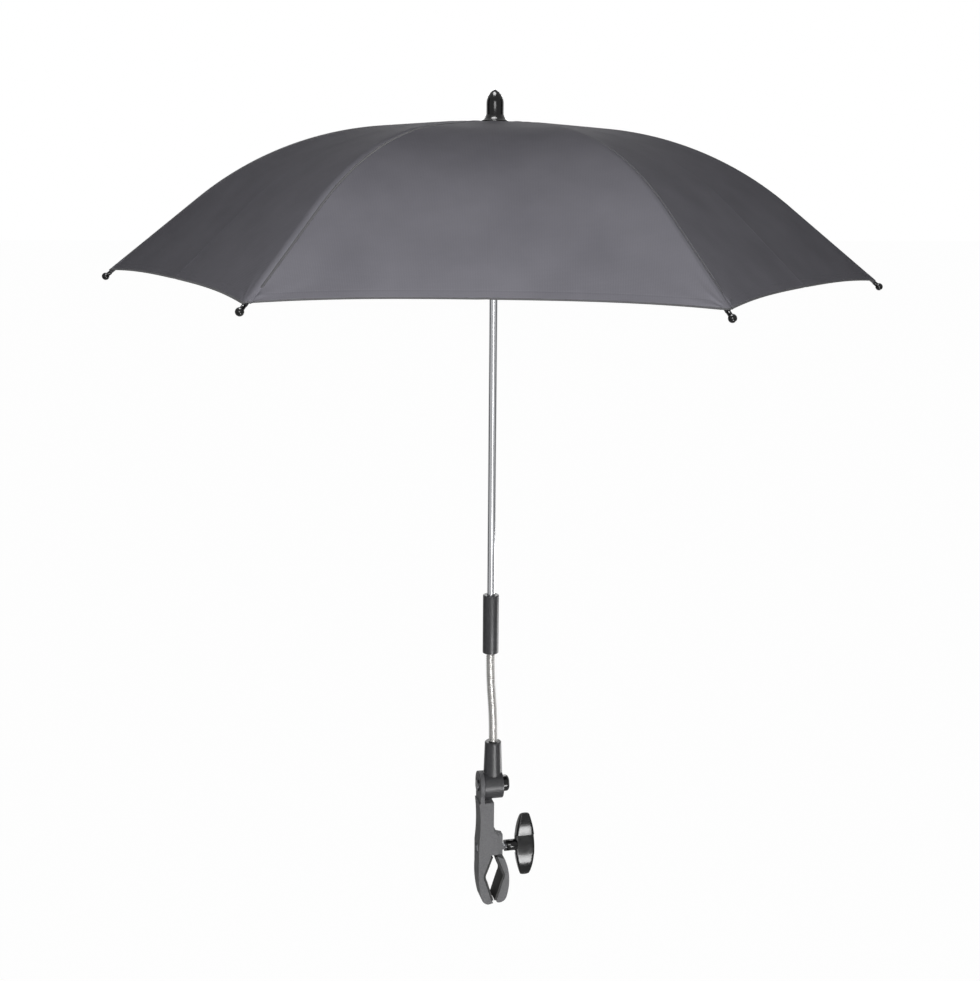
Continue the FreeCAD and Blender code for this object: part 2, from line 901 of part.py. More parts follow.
def hex_bar(flat_radius, left, right):
    corner = flat_radius / math.cos(math.radians(30))
    points = [Vec(left, *on_circle(corner, 60 * step)) for step in range(7)]
    face = Part.Face(Part.makePolygon(points))
    bar = face.extrude(EAST * (right - left))
    bar.translate(UP * screw_z)
    return bar


def clamp_nut():
    left = nut_right() - nut_thickness
    blank = hex_bar(nut_across_flats / 2, left, nut_right() - pin_play)
    return blank.cut(along(screw_radius + pin_play, left - overrun, nut_right() + overrun, screw_z))


def jaw_pivot_pin():
    return across(jaw_pin_radius, jaw_pivot_x, jaw_pivot_z, clamp_side)


def moving_jaw():
    top, foot, back_top, back_foot = pad_ends(1)
    size = (clamp_half_width, jaw_drop)
    seat = seat_points(1, bar_radius + pad_thickness, back_top, back_foot)
    shoulder_end = (jaw_shoulder_reach, jaw_shoulder_z - jaw_shoulder_fall)
    jaw = slab(
        seat
        + [
            share_point(moving_jaw_toe_shares, *size),
            (share_point(moving_jaw_heel_shares, *size), share_point(moving_jaw_ankle_shares, *size)),
            (share_point(moving_jaw_flank_shares, *size), shoulder_end),
        ],
        clamp_side,
    )
    neck = slab(
        [
            (neck_foot, jaw_shoulder_z - neck_sink),
            (neck_front, jaw_shoulder_z - neck_sink),
            (neck_front, neck_head_z),
            (jaw_pivot_x, jaw_pivot_z + jaw_eye_radius),
            (jaw_pivot_x - jaw_eye_radius, jaw_pivot_z),
        ],
        neck_half_depth,
    )
    eye = across(jaw_eye_radius, jaw_pivot_x, jaw_pivot_z, neck_half_depth)
    bearing = across(bearing_radius, boss_x, screw_z, neck_half_depth)
    slot_half = screw_radius + screw_clearance
    slot = block(
        Vec(-cavity_back, -slot_half, screw_z - slot_foot),
        Vec(washer_left + overrun, slot_half, screw_z + slot_top),
    )
    lever = neck.fuse([eye, bearing]).cut(slot)
    pin_hole = across(jaw_pin_radius + pin_play, jaw_pivot_x, jaw_pivot_z, clamp_side)
    return jaw.fuse(lever).cut(pin_hole)


# Screw and knob
def thrust_washer():
    ring = along(washer_radius, washer_left, washer_right, screw_z)
    return ring.cut(along(screw_radius + pin_play, washer_left - overrun, washer_right + overrun, screw_z))


def knob_middle():
    return (knob_inner + knob_outer) / 2


def clamp_screw():
    return along(screw_radius, screw_end, knob_middle(), screw_z)


def wing_knob():
    # A lens-shaped wing, cut to an S in its thickness: a long and a short lobe meet at a crease.
    middle = knob_middle()
    half_tip = knob_tip_width / 2
    high = screw_z + knob_half_height
    low = screw_z - knob_half_height
    lens = slab(
        [
            ((middle, high), (middle + half_tip, high - knob_tip_round)),
            ((knob_outer, screw_z), (middle + half_tip, low + knob_tip_round)),
            ((middle, low), (middle - half_tip, low + knob_tip_round)),
            ((knob_inner, screw_z), (middle - half_tip, high - knob_tip_round)),
        ],
        knob_half_height,
    )
    long_mid = knob_crease_rise * knob_lobe_mid_shares[0] - knob_half_height * knob_lobe_mid_shares[1]
    short_mid = knob_crease_rise + (knob_half_height - knob_crease_rise) * knob_short_lobe_share
    half_tip_thickness = knob_tip_thickness / 2
    lobes = []
    for side in (-1, 1):
        lobes += [
            (
                (side * knob_lobe_bulge, -side * long_mid),
                (side * knob_crease_inner, -side * knob_crease_rise),
            ),
            (side * knob_crease_outer, -side * knob_crease_rise),
            (
                (side * knob_short_lobe_bulge, -side * short_mid),
                (side * half_tip_thickness, -side * knob_half_height),
            ),
            (-side * half_tip_thickness, -side * knob_half_height),
        ]
    section = outline(lobes)
    section.rotate(ORIGIN, UP, 90)
    section.translate(Vec(knob_inner - overrun, 0, screw_z))
    twist = section.extrude(EAST * (knob_outer - knob_inner + 2 * overrun))
    wing = lens.common(twist)
    hub = along(knob_hub_radius, hub_left, middle, screw_z)
    bore = along(screw_radius + pin_play, hub_left - overrun, middle + pin_play, screw_z)
    return wing.fuse(hub).cut(bore)


# All pieces by name
def pieces():
    made = {
        "clamp_body": clamp_body(),
        "fixed_jaw_pad": jaw_pad(-1),
        "clamp_nut": clamp_nut(),
        "jaw_pivot_pin": jaw_pivot_pin(),
        "tilt_rivet": tilt_rivet(),
        "moving_jaw": moving_jaw(),
        "moving_jaw_pad": jaw_pad(1),
        "thrust_washer": thrust_washer(),
        "clamp_screw": clamp_screw(),
        "wing_knob": wing_knob(),
        "pole_socket": pole_socket(),
        "lock_button": lock_button(),
        "button_spring": button_spring(),
        "grip_sleeve": grip_sleeve(),
        "shaft_tube": shaft_tube(),
        "top_notch": top_notch(),
        "notch_wire": on_pole(wire_ring(rib_pivot_z, 0)),
        "ferrule": ferrule(),
        "canopy_crown": canopy_crown(),
        "runner": runner(),
        "runner_wire": on_pole(wire_ring(runner_pivot_z(), 0)),
        "runner_button": runner_button(),
        "runner_spring": runner_spring(),
    }
    for number in range(link_count):
        made["gooseneck_link_%d" % (number + 1)] = gooseneck_link(number)
    for number in range(rib_count):
        made["rib_%d" % (number + 1)] = rib(number)
        made["rib_tip_%d" % (number + 1)] = rib_tip(number)
        made["canopy_sector_%d" % (number + 1)] = canopy_sector(number)
        made["stretcher_%d" % (number + 1)] = stretcher(number)
    return made


os.makedirs("parts", exist_ok=True)
for name, shape in pieces().items():
    shape.exportStep("parts/%s.step" % name)
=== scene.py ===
import bpy
import bmesh
import json
import math
import numpy as np
from mathutils import Euler, Matrix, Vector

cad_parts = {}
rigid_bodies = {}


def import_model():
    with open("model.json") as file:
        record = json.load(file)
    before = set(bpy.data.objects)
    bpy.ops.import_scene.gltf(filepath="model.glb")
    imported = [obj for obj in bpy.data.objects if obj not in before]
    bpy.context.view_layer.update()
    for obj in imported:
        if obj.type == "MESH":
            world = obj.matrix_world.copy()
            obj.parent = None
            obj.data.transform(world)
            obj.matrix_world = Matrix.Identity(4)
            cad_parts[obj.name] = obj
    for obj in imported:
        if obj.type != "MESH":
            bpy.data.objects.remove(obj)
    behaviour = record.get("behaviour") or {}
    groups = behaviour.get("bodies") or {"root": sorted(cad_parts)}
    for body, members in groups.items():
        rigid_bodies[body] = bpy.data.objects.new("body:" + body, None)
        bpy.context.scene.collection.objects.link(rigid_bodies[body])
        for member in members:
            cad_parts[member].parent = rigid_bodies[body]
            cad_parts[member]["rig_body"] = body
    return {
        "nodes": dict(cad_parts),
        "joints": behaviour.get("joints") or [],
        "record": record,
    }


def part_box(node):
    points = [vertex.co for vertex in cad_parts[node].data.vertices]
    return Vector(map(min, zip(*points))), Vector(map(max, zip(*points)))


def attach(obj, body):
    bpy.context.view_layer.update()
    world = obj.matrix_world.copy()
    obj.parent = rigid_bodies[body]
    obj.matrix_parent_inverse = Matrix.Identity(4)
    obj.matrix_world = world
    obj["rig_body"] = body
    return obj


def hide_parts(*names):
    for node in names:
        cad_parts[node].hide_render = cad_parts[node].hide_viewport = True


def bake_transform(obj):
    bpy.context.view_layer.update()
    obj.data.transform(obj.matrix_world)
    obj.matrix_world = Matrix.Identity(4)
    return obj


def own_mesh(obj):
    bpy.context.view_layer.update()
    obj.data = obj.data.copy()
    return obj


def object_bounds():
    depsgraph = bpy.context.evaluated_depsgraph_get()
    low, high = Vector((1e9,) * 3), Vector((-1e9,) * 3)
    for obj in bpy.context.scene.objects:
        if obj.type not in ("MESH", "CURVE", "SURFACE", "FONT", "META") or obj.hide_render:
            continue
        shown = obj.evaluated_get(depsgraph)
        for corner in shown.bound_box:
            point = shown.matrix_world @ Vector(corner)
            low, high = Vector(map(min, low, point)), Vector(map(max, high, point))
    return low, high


# A pram parasol: cloth canopy on six ribs, chromed pole, bendable neck, tilting socket, screw clamp.
# Lengths are metres, sizes in the dictionaries are millimetres times mm, angles there are degrees.
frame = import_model()
cadLow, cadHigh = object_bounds()
scene = bpy.context.scene
nodes = frame["nodes"]
joints = {joint["name"]: joint for joint in frame["joints"]}
slotOf = {row["node"]: row["material_slot"] for row in frame["record"]["subparts"]}
ribCount = sum(name.startswith("canopy_sector_") for name in nodes)
linkCount = sum(name.startswith("gooseneck_link_") for name in nodes)
mm = 0.001
print("frame loaded:", len(nodes), "nodes")


# Materials

def linear(hexText):
    # sRGB hex to a linear colour with alpha 1
    part = np.array([int(hexText[i:i + 2], 16) for i in (1, 3, 5)]) / 255
    light = np.where(part <= 0.04045, part / 12.92, ((part + 0.055) / 1.055) ** 2.4)
    return (*light.tolist(), 1.0)


def addNode(tree, kind, values=None, links=None, **settings):
    # one node with its settings, its plain socket values and its incoming links
    node = tree.nodes.new(kind)
    for name, value in settings.items():
        setattr(node, name, value)
    for name, value in (values or {}).items():
        node.inputs[name].default_value = value
    for name, socket in (links or {}).items():
        tree.links.new(socket, node.inputs[name])
    return node


def newMaterial(name, hexText, **values):
    # a material with one Principled shader, its colour and its plain values
    material = bpy.data.materials.new(name)
    material.use_nodes = True
    tree = material.node_tree
    tree.nodes.clear()
    surface = addNode(tree, "ShaderNodeBsdfPrincipled", {"Base Color": linear(hexText), **values})
    addNode(tree, "ShaderNodeOutputMaterial", links={"Surface": surface.outputs["BSDF"]})
    return material, tree, surface


def shadeBetween(tree, surface, factor, darkHex, hexText, span):
    # colours a surface from the dark shade to the light one while factor passes over span
    shade = addNode(tree, "ShaderNodeValToRGB", links={"Fac": factor})
    for element, place, tone in zip(shade.color_ramp.elements, span, (darkHex, hexText)):
        element.position = place
        element.color = linear(tone)
    tree.links.new(shade.outputs["Color"], surface.inputs["Base Color"])


def raiseBy(tree, surface, height, depth, relief):
    # gives a surface the relief of a height texture
    bump = addNode(tree, "ShaderNodeBump", {"Strength": relief, "Distance": depth}, {"Height": height})
    tree.links.new(bump.outputs["Normal"], surface.inputs["Normal"])


# Polyester plain weave, dyed charcoal: matt, with a fine thread grid and faint cloudy shade
# the threads are drawn about three times too coarse, so that they show
weave = {"hex": "#7E7D84", "darkHex": "#727178", "shadeSpan": (0.3, 0.85), "gridShare": 0.35,
         "thread": 1.3 * mm, "threadWobble": 0.4, "threadDetail": 1.0, "cloud": 55 * mm, "cloudDetail": 4.0,
         "depth": 0.12 * mm, "relief": 0.5}
clothMaterial, tree, surface = newMaterial("charcoalPolyesterWeave", weave["hex"], **{
    "Roughness": 0.85, "Specular IOR Level": 0.01, "Sheen Weight": 0.03, "Sheen Roughness": 0.4})
threads = addNode(tree, "ShaderNodeTexCoord")
threadScale = 2 * math.pi / 20 / weave["thread"]  # a Wave texture's bands repeat every 2 pi / 20
warp, weft = [addNode(tree, "ShaderNodeTexWave", {
    "Scale": threadScale, "Distortion": weave["threadWobble"], "Detail": weave["threadDetail"]},
    {"Vector": threads.outputs["UV"]}, bands_direction=way) for way in ("X", "Y")]
grid = addNode(tree, "ShaderNodeMath", links={0: warp.outputs["Fac"], 1: weft.outputs["Fac"]},
               operation="MULTIPLY")
cloud = addNode(tree, "ShaderNodeTexNoise", {"Scale": 1 / weave["cloud"], "Detail": weave["cloudDetail"]},
                {"Vector": threads.outputs["Object"]})
mottle = addNode(tree, "ShaderNodeMath", {1: weave["gridShare"]},
                 {0: grid.outputs["Value"], 2: cloud.outputs["Fac"]}, operation="MULTIPLY_ADD")
shadeBetween(tree, surface, mottle.outputs["Value"], weave["darkHex"], weave["hex"], weave["shadeSpan"])
raiseBy(tree, surface, grid.outputs["Value"], weave["depth"], weave["relief"])

# how every hard surface reads its noise: where it shades, where it changes the gloss, how strongly it lifts
grainLook = {"detail": 3.0, "shadeSpan": (0.35, 0.65), "glossSpan": (0.3, 0.7), "relief": 0.6}


def finish(name, hexText, darkHex, roughness, spread, grain, depth, stretch=(1, 1, 1), **values):
    # one hard surface: a noise of the grain's size shades between two colours, makes the gloss
    # uneven by spread and lifts the surface by depth; stretch draws the grain out along an axis
    material, tree, surface = newMaterial(name, hexText, **values)
    place = addNode(tree, "ShaderNodeTexCoord")
    drawn = addNode(tree, "ShaderNodeMapping", {"Scale": stretch}, {"Vector": place.outputs["Object"]})
    noise = addNode(tree, "ShaderNodeTexNoise", {"Scale": 1 / grain, "Detail": grainLook["detail"]},
                    {"Vector": drawn.outputs["Vector"]})
    shadeBetween(tree, surface, noise.outputs["Fac"], darkHex, hexText, grainLook["shadeSpan"])
    glossLow, glossHigh = grainLook["glossSpan"]
    gloss = addNode(tree, "ShaderNodeMapRange", {
        "From Min": glossLow, "From Max": glossHigh,
        "To Min": roughness - spread, "To Max": roughness + spread}, {"Value": noise.outputs["Fac"]})
    tree.links.new(gloss.outputs["Result"], surface.inputs["Roughness"])
    raiseBy(tree, surface, noise.outputs["Fac"], depth, grainLook["relief"])
    return material


# Glass-filled nylon from a spark-eroded mould: dull grey with a sandy grain, drawn coarser to show
clampPlastic = finish("grainedNylon", "#666668", "#5A5A5C", roughness=0.6, spread=0.06,
                      grain=1.1 * mm, depth=0.10 * mm, **{"Specular IOR Level": 0.2})
# Smooth moulded ABS, satin near-black, faintly cloudy from the mould: the sleeve, socket and barrel
satinPlastic = finish("satinAbs", "#3E3E40", "#38383A", roughness=0.36, spread=0.03,
                      grain=3 * mm, depth=0.004 * mm, **{"Specular IOR Level": 0.22})
# Black acetal, slightly waxy: the hubs inside the canopy
hubPlastic = finish("blackAcetal", "#242426", "#1C1C1E", roughness=0.45, spread=0.05,
                    grain=2 * mm, depth=0.02 * mm)
# Painted shade: a narrow strip darker than the cloth along the hem's edge, where the folded hem is in shadow,
# and along the thread line of each seam, where the seam's groove is in shadow
hemAndSeamShade = finish("paintedHemAndSeamShade", "#3E3E41", "#333336", roughness=0.8, spread=0.05,
                 grain=0.9 * mm, depth=0.04 * mm)
# Nitrile rubber, matt black with a dusty bloom: the jaw pads
rubber = finish("nitrileRubber", "#1E1E1E", "#141414", roughness=0.8, spread=0.05,
                grain=0.8 * mm, depth=0.05 * mm)
# Polished black ABS: deep black, sharp reflections, a little orange peel and wiped smears
glossBlack = finish("polishedBlackAbs", "#0D0D0E", "#09090A", roughness=0.18, spread=0.03,
                    grain=7 * mm, depth=0.0005 * mm, **{"Specular IOR Level": 0.25})
# Chromium plate on drawn steel tube: a bright mirror with faint lines along the tube
chrome = finish("chromePlate", "#D2D3D5", "#C5C6C9", roughness=0.12, spread=0.03,
                grain=1.5 * mm, depth=0.0002 * mm, stretch=(1, 1, 0.02), Metallic=1.0)
# Nickel-plated steel strip, wound: bright, rubbed dull in places by the winding
neckNickel = finish("nickelStrip", "#B9B8B6", "#9E9D9B", roughness=0.34, spread=0.05,
                    grain=1.6 * mm, depth=0.002 * mm, Metallic=1.0)
# Zinc-plated steel: pale, slightly blue, cloudy
zincSteel = finish("zincPlate", "#B8BBBE", "#9DA0A4", roughness=0.35, spread=0.08,
                   grain=2.5 * mm, depth=0.01 * mm, Metallic=1.0)
# Black-lacquered steel section: the ribs and stretchers
ribSteel = finish("lacqueredSteel", "#414143", "#343436", roughness=0.35, spread=0.06,
                  grain=2 * mm, depth=0.01 * mm, Metallic=0.6)
# Drawn spring wire: grey steel with an oil film
springSteel = finish("springWire", "#929294", "#7C7C7E", roughness=0.3, spread=0.06,
                     grain=0.6 * mm, depth=0.004 * mm, Metallic=1.0)
print("materials made")


# Meshes

def smoothPiece(name, mesh, material, sharpAngle):
    # an object of one mesh and one material, smooth except at edges past sharpAngle
    mesh.shade_smooth()
    mesh.set_sharp_from_angle(angle=math.radians(sharpAngle))
    mesh.materials.clear()
    mesh.materials.append(material)
    piece = bpy.data.objects.new(name, mesh)
    scene.collection.objects.link(piece)
    return piece


def meshFrom(name, points, faces, material, sharpAngle, corners=None):
    # an object from arrays, with its texture map's corners if there are any
    mesh = bpy.data.meshes.new(name)
    mesh.from_pydata(points.reshape(-1, 3).tolist(), [], faces)
    if corners is not None:
        mesh.uv_layers.new(name="UVMap").data.foreach_set("uv", corners.astype(np.float32).ravel())
    return smoothPiece(name, mesh, material, sharpAngle)


def gridFaces(rows, columns, wrap=False):
    # quads between neighbouring rows and columns of a grid, the last column joined to the first if wrap
    row, column = np.meshgrid(np.arange(rows - 1), np.arange(columns if wrap else columns - 1), indexing="ij")
    after = (column + 1) % columns
    quads = np.stack([row * columns + column, row * columns + after,
                      (row + 1) * columns + after, (row + 1) * columns + column], axis=-1)
    return quads.reshape(-1, 4)


def tubeFaces(rows, sides):
    # the quads round a tube and one many-sided face at each end
    around = np.arange(sides)
    ends = [around[::-1].tolist(), (around + (rows - 1) * sides).tolist()]
    return gridFaces(rows, sides, wrap=True).tolist() + ends


def sweptPiece(name, centres, radii, material, sides, sharpAngle, axis=None):
    # a round profile along a path: each row is a circle of its radius about its centre, closed at both ends
    # centres is (rows, 3), radii is (rows,) or (rows, sides); the path or axis may not run along y
    turn = np.linspace(0, 2 * np.pi, sides, endpoint=False)
    if axis is None:
        along = np.gradient(centres, axis=0)
        along /= np.linalg.norm(along, axis=1, keepdims=True)
    else:
        along = np.broadcast_to(np.asarray(axis, float), centres.shape)
    sideways = np.cross(along, [0.0, 1.0, 0.0])
    sideways /= np.linalg.norm(sideways, axis=1, keepdims=True)
    forward = np.cross(along, sideways)
    reach = np.broadcast_to(np.asarray(radii, float).reshape(len(centres), -1), (len(centres), sides))
    ring = (np.cos(turn)[None, :, None] * sideways[:, None, :]
            + np.sin(turn)[None, :, None] * forward[:, None, :])
    points = centres[:, None, :] + ring * reach[..., None]
    return meshFrom(name, points, tubeFaces(len(centres), sides), material, sharpAngle)


def turnedPiece(name, foot, axis, profile, material, sides=64, sharpAngle=35):
    # a turned profile: pairs of (radius, height) along an axis from its foot
    profile = np.array(profile, float)
    centres = np.array(foot, float) + profile[:, 1:] * np.array(axis, float)
    return sweptPiece(name, centres, profile[:, 0], material, sides, sharpAngle, axis)


# how a CAD mesh is rounded: points within weld become one, and faces join that are flat to so many degrees
rounding = {"weld": 0.002 * mm, "flat": 0.5, "segments": 3}


def roundedCopy(name, node, material, edge, sharpAngle=32):
    # a CAD node's own mesh, merged, flat faces joined, and its edges rounded over as wide as edge
    mesh = nodes[node].data.copy()
    mesh.name = name
    work = bmesh.new()
    work.from_mesh(mesh)
    bmesh.ops.remove_doubles(work, verts=work.verts, dist=rounding["weld"])
    bmesh.ops.dissolve_limit(work, angle_limit=math.radians(rounding["flat"]),
                             verts=work.verts, edges=work.edges)
    work.to_mesh(mesh)
    work.free()
    piece = smoothPiece(name, mesh, material, sharpAngle)
    if edge > 0:
        bevel = piece.modifiers.new("roundedEdge", "BEVEL")
        bevel.width = edge
        bevel.segments = rounding["segments"]
        bevel.limit_method = "ANGLE"
        bevel.angle_limit = math.radians(sharpAngle)
        bevel.harden_normals = True
    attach(piece, nodes[node]["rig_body"])
    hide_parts(node)
    return piece


def boxOf(node):
    # lowest and highest corner of a CAD node
    low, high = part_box(node)
    return np.array(low, float), np.array(high, float)


def smoothStep(value):
    # 0 below 0, 1 above 1, an S between
    share = np.clip(value, 0, 1)
    return share ** 2 * (3 - 2 * share)


def bell(value, width):
    # 1 at 0, falling off to both sides within width
    return np.exp(-(value / width) ** 2)


def foldJoint(number):
    # the joint that folds a rib: rib 1 leads the others
    return "canopy_fold" if number == 1 else "rib_%d_fold" % number


def outwardOf(number):
    # level unit vector from the pole along a rib, square to the rib's fold axis
    axis = joints[foldJoint(number)]["axis"]
    return np.array([axis[1], -axis[0], 0.0])


shaftLow, shaftHigh = boxOf("shaft_tube")
poleX, poleY = (shaftLow[:2] + shaftHigh[:2]) / 2
pivot = np.array(joints["canopy_fold"]["pos_m"], float)
pivotReach = math.hypot(pivot[0] - poleX, pivot[1] - poleY)

# Canopy cloth: six sectors, each from mid-gore to mid-gore across one rib
# the mesh is finer in the near columns beside the rib and in the hem rows; turnedIn adds the hem's fold to
# the flat length; the calm sizes keep the ripples off the tip and the ridge
canopy = {
    "crownSlope": 4.0, "crownReach": 110 * mm, "bowRadius": 326 * mm, "hemSlope": 38.5,
    "reach": 377 * mm, "innerReach": 12.9 * mm, "lift": 3.55 * mm, "thickness": 0.55 * mm,
    "crownLift": 2.6 * mm, "crownLiftEnd": 290 * mm, "skirtEnd": 45 * mm,
    "ridgeRound": 1.5 * mm, "ridgeSpread": 6 * mm, "scallop": 6.5 * mm, "scallopStart": 150 * mm,
    "sag": 2.2 * mm, "creaseHeight": 0.35 * mm, "creaseWidth": 3.5 * mm,
    "seamPlace": 5.2 * mm, "seamShare": 0.6, "seamRise": 0.3 * mm, "seamDepth": 0.7 * mm,
    "seamWidth": 0.9 * mm, "seamStart": 60 * mm, "seamEnd": 362 * mm,
    "hemBand": 8 * mm, "hemLift": 0.08 * mm, "stitchDepth": 0.1 * mm, "stitchWidth": 0.6 * mm,
    "shadeBand": 1.8 * mm, "turnedIn": 1.02,
    "tipRipple": 0.35 * mm, "tipFade": 42 * mm, "tipRipples": 9, "tipCalm": 8 * mm, "ridgeCalm": 6 * mm,
    "nearWidth": 9.0 * mm, "nearShare": 0.8, "nearColumns": 24, "farColumns": 22,
    "rows": 70, "hemRows": 24, "hemRun": 14 * mm, "hemStart": 1.1, "hemCrowding": 1.3,
    "foldKeep": 0.25}
halfGore = math.pi / ribCount


def ribHeight(reach):
    # height of a rib at a radius: a straight crown, an arc of bowRadius, then a straight run to the hem
    crown, hem = math.radians(canopy["crownSlope"]), math.radians(canopy["hemSlope"])
    bow, crownReach = canopy["bowRadius"], canopy["crownReach"]
    centreReach = crownReach - bow * math.sin(crown)
    centreZ = pivot[2] - (crownReach - pivotReach) * math.tan(crown) - bow * math.cos(crown)
    hemReach = centreReach + bow * math.sin(hem)
    arc = centreZ + np.sqrt(np.maximum(bow ** 2 - (reach - centreReach) ** 2, 0))
    straight = centreZ + bow * math.cos(hem) - (reach - hemReach) * math.tan(hem)
    crownPart = pivot[2] - (reach - pivotReach) * math.tan(crown)
    return np.where(reach < crownReach, crownPart, np.where(reach < hemReach, arc, straight))


def clothSurface():
    # The cloth's middle surface over one rib, in the rib's own frame, and its normals.
    # Rows run from crown to hem, columns across from one mid-gore to the next. A row at radius r is the pair
    # of chords x = r - |y| tan(halfGore) at the rib's height. The ridge is rounded, the hem arches up between
    # the tips, and the gore sags a little. A felled seam lies beside the rib, a fold crease at mid-gore.
    # Also returned: how far across each point lies, and each row's radius and half width.
    c = canopy
    hemRows = np.linspace(1, 0, c["hemRows"]) ** c["hemCrowding"] * c["hemRun"]
    lastRow = c["reach"] - c["hemRun"] * c["hemStart"]
    rowReach = np.concatenate([np.linspace(c["innerReach"], lastRow, c["rows"]), c["reach"] - hemRows])
    rowShare = (rowReach - c["innerReach"]) / (c["reach"] - c["innerReach"])
    near = np.linspace(0, 1, c["nearColumns"])
    far = np.linspace(0, 1, c["farColumns"] + 1)[1:]
    halfWidth = rowReach[:, None] * math.sin(halfGore) * math.cos(halfGore)
    nearWidth = np.minimum(c["nearWidth"], halfWidth * c["nearShare"])
    side = np.concatenate([near * nearWidth, nearWidth + (halfWidth - nearWidth) * far], axis=1)
    across = np.concatenate([-side[:, :0:-1], side], axis=1)
    distance = np.abs(across)
    share = distance / halfWidth
    between = 1 - (1 - share) ** 2
    arch = 1 - (1 - share) ** 3
    drawIn = np.clip((rowReach - c["scallopStart"]) / (c["reach"] - c["scallopStart"]), 0, 1)[:, None] ** 2
    reach = rowReach[:, None] - c["scallop"] * arch * drawIn
    softSide = np.sqrt(distance ** 2 + c["ridgeRound"] ** 2 * bell(distance, c["ridgeSpread"]))
    swell = (c["crownLift"] * (1 - np.minimum(reach / c["crownLiftEnd"], 1) ** 2)
             * smoothStep((reach - c["innerReach"]) / (c["skirtEnd"] - c["innerReach"])))
    middle = np.stack([reach - softSide * math.tan(halfGore), across * (reach / rowReach[:, None]),
                       ribHeight(reach) + c["lift"] + swell], axis=-1)
    fromHem = c["reach"] - rowReach[:, None]
    tipRange = np.hypot(fromHem, across)
    tipTurn = np.arctan2(across, np.maximum(fromHem, 1e-6))
    seamWidth, seamPlace = c["seamWidth"], np.minimum(c["seamPlace"], halfWidth * c["seamShare"])
    strip = smoothStep(across / seamWidth / 2) * smoothStep((seamPlace - across) / seamWidth)
    offset = -c["sag"] * between * np.sin(np.pi * rowShare[:, None]) ** 2
    offset = offset + c["creaseHeight"] * bell((1 - share) * halfWidth, c["creaseWidth"])
    offset = offset + c["seamRise"] * strip - c["seamDepth"] * bell(across - seamPlace, seamWidth)
    offset = offset + c["hemLift"] * (fromHem < c["hemBand"])
    offset = offset - c["stitchDepth"] * bell(fromHem - c["hemBand"], c["stitchWidth"])
    ripple = c["tipRipple"] * np.exp(-tipRange / c["tipFade"]) * np.minimum(tipRange / c["tipCalm"], 1)
    offset = offset + (ripple * np.sin(c["tipRipples"] * tipTurn) * np.minimum(distance / c["ridgeCalm"], 1))
    normal = np.cross(np.gradient(middle, axis=0), np.gradient(middle, axis=1))
    for column, way in ((0, -1), (-1, 1)):  # at mid-gore the normal has no part across, so neighbours meet
        sideways = np.array([-math.sin(halfGore) * way, math.cos(halfGore), 0])
        normal[:, column] -= (normal[:, column] @ sideways)[:, None] * sideways
    normal /= np.linalg.norm(normal, axis=-1, keepdims=True)
    return middle + normal * offset[..., None], normal, across, rowReach, halfWidth


def clothSector(number, middle, normal, across, rowReach, halfWidth):
    # one sector: the surface given its thickness, turned to its rib and closed round its border
    c = canopy
    outward = outwardOf(number)
    angle = math.atan2(outward[1], outward[0])
    cosine, sine = math.cos(angle), math.sin(angle)
    spin = np.array([[cosine, sine, 0], [-sine, cosine, 0], [0, 0, 1]])
    top = middle + normal * c["thickness"] / 2
    under = middle - normal * c["thickness"] / 2
    points = np.stack([top, under]) @ spin + [poleX, poleY, 0]
    rows, columns = across.shape
    count = rows * columns
    topFaces = gridFaces(rows, columns)
    border = np.concatenate([np.arange(columns), np.arange(1, rows) * columns + columns - 1,
                             (rows - 1) * columns + np.arange(columns - 2, -1, -1),
                             np.arange(rows - 2, 0, -1) * columns])
    rim = np.stack([border, border + count, np.roll(border, -1) + count, np.roll(border, -1)], axis=-1)
    faces = np.concatenate([topFaces, topFaces[:, ::-1] + count, rim])
    # threads run square to each gore's middle line, so the map starts again at the rib's seam
    length = np.concatenate([[0], np.cumsum(np.linalg.norm(np.diff(middle[:, -1], axis=0), axis=1))])
    goreSide = (halfWidth - np.abs(across)) / math.cos(halfGore)
    vertexMap = np.stack([goreSide, np.broadcast_to(length[:, None], goreSide.shape)], axis=-1)
    corners = np.tile(vertexMap.reshape(-1, 2), (2, 1))[faces]
    corners[(faces % columns).min(axis=1) >= columns // 2, :, 0] *= -1
    piece = meshFrom("canopy_cloth_%d" % number, points, faces.tolist(), clothMaterial,
                     sharpAngle=50, corners=corners)
    piece.data.materials.append(hemAndSeamShade)
    faceReach = rowReach[(faces % count // columns).min(axis=1)]
    faceAcross = across.ravel()[faces % count].mean(axis=1)
    # painted shade: the faces along the hem's edge and along each seam's thread line take the darker material
    hemShaded = faceReach > c["reach"] - c["shadeBand"]
    seamShaded = ((np.abs(faceAcross - c["seamPlace"]) < c["seamWidth"])
            & (faceReach < c["seamEnd"]) & (faceReach > c["seamStart"]))
    piece.data.polygons.foreach_set("material_index", (hemShaded | seamShaded).astype(np.int32))
    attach(piece, "rib_%d" % number)
    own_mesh(piece)
    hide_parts("canopy_sector_%d" % number)


cloth = clothSurface()
for number in range(1, ribCount + 1):
    clothSector(number, *cloth)

crown = {"hole": 4.1 * mm, "rim": 19 * mm, "under": 0.9 * mm, "thickness": 0.5 * mm}
crownReach = np.array([crown["hole"], crown["rim"], crown["rim"], crown["hole"]])
crownTop = ribHeight(crownReach) + canopy["lift"] - crown["under"]
crownTop[2:] -= crown["thickness"]
crownCloth = turnedPiece("crown_cloth", (poleX, poleY, 0), (0, 0, 1),
                         np.stack([crownReach, crownTop], axis=-1), clothMaterial)
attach(crownCloth, "pole")
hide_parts("canopy_crown")
print("canopy sewn:", ribCount, "sectors")

